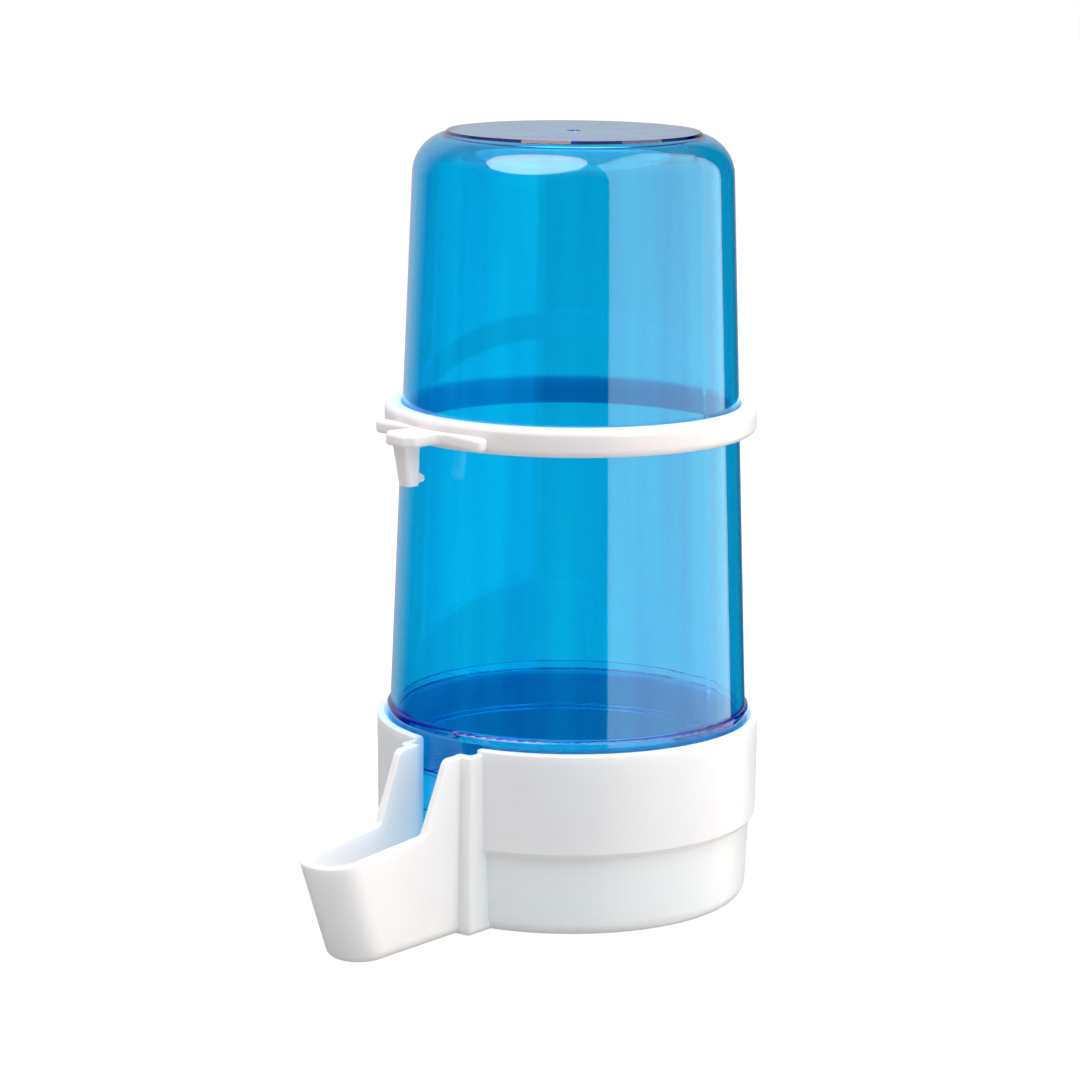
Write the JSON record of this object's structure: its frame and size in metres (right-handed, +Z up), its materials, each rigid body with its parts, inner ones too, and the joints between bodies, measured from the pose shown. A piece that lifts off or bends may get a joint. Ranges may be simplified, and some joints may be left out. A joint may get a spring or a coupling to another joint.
{
  "type": "cage siphon drinker",
  "caption": "Siphon drinker for small cage animals: clear domed jar standing in a cup with an open drinking spout, held by a collar ring with a cage hook.",
  "frame": {"origin": "on the jar's axis at the base's flat underside", "axes": "+Z up along the jar's axis; the drinking spout points along -Y; +X completes the right-handed frame"},
  "size_m": [0.081, 0.1212, 0.1618],
  "materials": {
    "clear_blue": "polished transparent moulding",
    "white_base": "satin moulded",
    "white_ring": "satin moulded"
  },
  "bodies": {
    "base": {"base_trough": "white_base"},
    "jar": {"reservoir": "clear_blue"},
    "collar": {"cage_ring": "white_ring"}
  },
  "joints": [
    {"name": "reservoir_lift", "type": "slide", "parent": "base", "child": "jar", "axis": [0, 0, 1], "range_m": [0, 0.06]},
    {"name": "ring_lift", "type": "slide", "parent": "jar", "child": "collar", "axis": [0, 0, 1], "range_m": [0, 0.07]}
  ]
}
